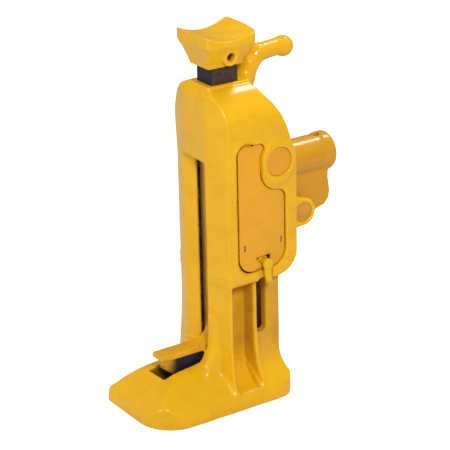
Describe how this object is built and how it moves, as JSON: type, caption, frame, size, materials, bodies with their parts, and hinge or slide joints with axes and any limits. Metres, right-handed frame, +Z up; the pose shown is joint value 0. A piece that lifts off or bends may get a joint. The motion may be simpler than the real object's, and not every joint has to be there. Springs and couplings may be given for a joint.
{
  "type": "toe jack",
  "caption": "Ratchet rack jack with a low lifting toe, a saddle head, a wide cast foot, a side lever socket and a carrying horn.",
  "frame": {"origin": "on the ground under the axis of the rack bar", "axes": "+Z up along the rack bar, -Y towards the lifting toe, +Y towards the open end of the lever socket, +X towards the side cover"},
  "size_m": [0.16, 0.349, 0.549],
  "materials": {
    "enamel_casting": "gloss yellow enamel over cast steel",
    "enamel_cap": "gloss yellow enamel over cast steel",
    "enamel_cover": "gloss yellow enamel over pressed steel",
    "enamel_lever": "gloss yellow enamel over cast steel",
    "enamel_plug": "gloss yellow enamel",
    "enamel_trip": "gloss yellow enamel",
    "rack_steel": "dark oiled forged steel with milled teeth",
    "zinc_steel": "bright zinc plated steel",
    "pin_steel": "ground hardened steel",
    "spring_steel": "blued spring steel",
    "pawl_steel": "forged and ground steel",
    "bush_bronze": "plain bearing bronze"
  },
  "bodies": {
    "frame": {"housing": "enamel_casting", "cover_plate": "enamel_cover", "cover_clips": "spring_steel", "cover_rivets": "zinc_steel", "lever_bushes": "bush_bronze", "holding_pawl_pin": "pin_steel", "holding_pawl_spacers": "zinc_steel", "pin_plugs": "enamel_plug", "holding_pawl_spring": "spring_steel", "release_spring": "spring_steel"},
    "rack": {"rack_bar": "rack_steel", "head_cap": "enamel_cap", "head_pin": "zinc_steel"},
    "lever": {"lever_socket": "enamel_lever", "lever_pin": "pin_steel", "lever_pin_key": "pin_steel", "lifting_pawl_pin": "pin_steel", "lifting_pawl_rings": "spring_steel", "lifting_pawl_spring": "spring_steel", "leaf_screw": "zinc_steel"},
    "lifting_pawl": {"lifting_pawl": "pawl_steel"},
    "holding_pawl": {"holding_pawl": "pawl_steel"},
    "release_lever": {"release_lever": "enamel_trip", "release_crank": "pawl_steel", "release_crank_key": "pin_steel"},
    "release_rod": {"release_rod": "zinc_steel", "release_rod_rings": "spring_steel"}
  },
  "joints": [
    {"name": "rack_slide", "type": "slide", "parent": "frame", "child": "rack", "axis": [0, 0, 1], "range_m": [-0.02083, 0.22917]},
    {"name": "lever_hinge", "type": "hinge", "parent": "frame", "child": "lever", "pos_m": [0, 0.115, 0.262], "axis": [1, 0, 0], "range_deg": [-35, 0]},
    {"name": "lifting_pawl_hinge", "type": "hinge", "parent": "lever", "child": "lifting_pawl", "pos_m": [0, 0.06935, 0.24717], "axis": [1, 0, 0], "range_deg": [0, 35.1]},
    {"name": "release_hinge", "type": "hinge", "parent": "frame", "child": "release_lever", "pos_m": [0, 0.031, 0.213], "axis": [1, 0, 0], "range_deg": [-34, 0], "stiffness_Nm_per_rad": 1, "springref_deg": 11.46},
    {"name": "release_rod_slide", "type": "slide", "parent": "frame", "child": "release_rod", "axis": [0, 0, 1], "range_m": [-0.0064, 0]},
    {"name": "holding_pawl_hinge", "type": "hinge", "parent": "frame", "child": "holding_pawl", "pos_m": [0, 0.054, 0.3605], "axis": [1, 0, 0], "range_deg": [-18.1, 0], "deforming": ["holding_pawl_spring"]}
  ],
  "couplings": [
    {"joint": "lifting_pawl_hinge", "follows": "lever_hinge", "ratio": -1},
    {"joint": "release_rod_slide", "follows": "release_hinge", "m_per_rad": 0.010668},
    {"joint": "holding_pawl_hinge", "follows": "release_hinge", "ratio": 0.52941}
  ]
}
